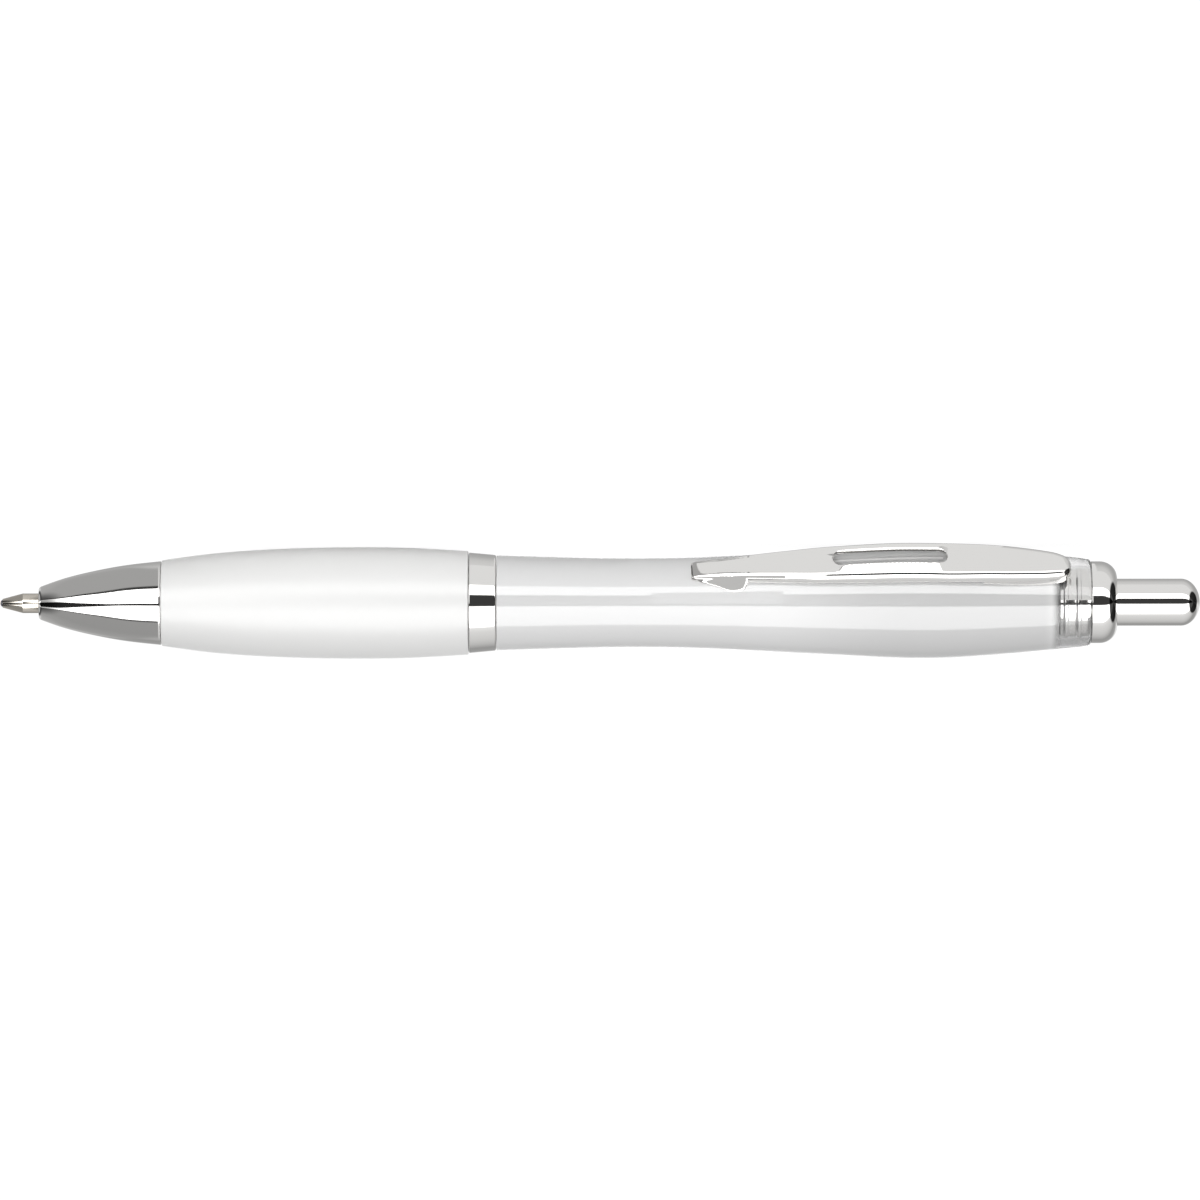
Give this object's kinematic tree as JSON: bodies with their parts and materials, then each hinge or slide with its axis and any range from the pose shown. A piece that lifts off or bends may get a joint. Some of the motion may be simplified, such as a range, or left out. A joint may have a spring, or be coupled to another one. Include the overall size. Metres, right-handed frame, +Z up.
{
  "type": "retractable ballpoint pen",
  "caption": "Retractable ballpoint pen with a chromed nose, white rubber grip, translucent white barrel, folded metal pocket clip and push button.",
  "frame": {"origin": "under the middle of the lying pen, on the surface it lies on", "axes": "+X from the push button to the writing point, +Z up as the pen lies, clip on the -Y side below the axis"},
  "size_m": [0.14, 0.0142, 0.013],
  "materials": {
    "chrome": "bright plated, mirror polish",
    "inner_plastic": "moulded, satin",
    "grip_rubber": "moulded, matt",
    "barrel_plastic": "milky translucent, polished mould",
    "spring_steel": "drawn wire",
    "point_metal": "turned nickel silver",
    "ball_carbide": "ground and lapped",
    "tube_plastic": "extruded, milky",
    "ink": "thick liquid",
    "grease": "clear grease"
  },
  "bodies": {
    "barrel": {"nose_cone": "chrome", "front_barrel": "inner_plastic", "grip_sleeve": "grip_rubber", "centre_ring": "chrome", "rear_barrel": "barrel_plastic", "end_collar": "chrome", "guide_sleeve": "inner_plastic", "return_spring": "spring_steel"},
    "clip": {"pocket_clip": "chrome"},
    "button": {"push_button": "chrome", "plunger": "inner_plastic"},
    "refill": {"refill_point": "point_metal", "ink_tube": "tube_plastic", "ink_column": "ink", "ink_follower": "grease"},
    "cam": {"index_cam": "inner_plastic"},
    "ball": {"writing_ball": "ball_carbide"}
  },
  "joints": [
    {"name": "button_slide", "type": "slide", "parent": "barrel", "child": "button", "axis": [-1, 0, 0], "range_m": [-0.0012, 0.0055]},
    {"name": "refill_slide", "type": "slide", "parent": "barrel", "child": "refill", "axis": [-1, 0, 0], "range_m": [-0.0012, 0.0055], "deforming": ["return_spring"]},
    {"name": "cam_turn", "type": "hinge", "parent": "refill", "child": "cam", "pos_m": [-0.041, 0.00061, 0.0065], "axis": [1, 0, 0], "continuous": true},
    {"name": "ball_roll", "type": "hinge", "parent": "refill", "child": "ball", "pos_m": [0.0695, 0.00061, 0.0065], "axis": [0, 1, 0], "continuous": true},
    {"name": "clip_flex", "type": "hinge", "parent": "barrel", "child": "clip", "pos_m": [-0.0544, -0.0038, 0.00339], "axis": [0, 0.5759, -0.8175], "range_deg": [0, 3], "stiffness_Nm_per_rad": 4, "springref_deg": -0.29}
  ],
  "couplings": [
    {"joint": "refill_slide", "follows": "button_slide", "ratio": 1}
  ]
}
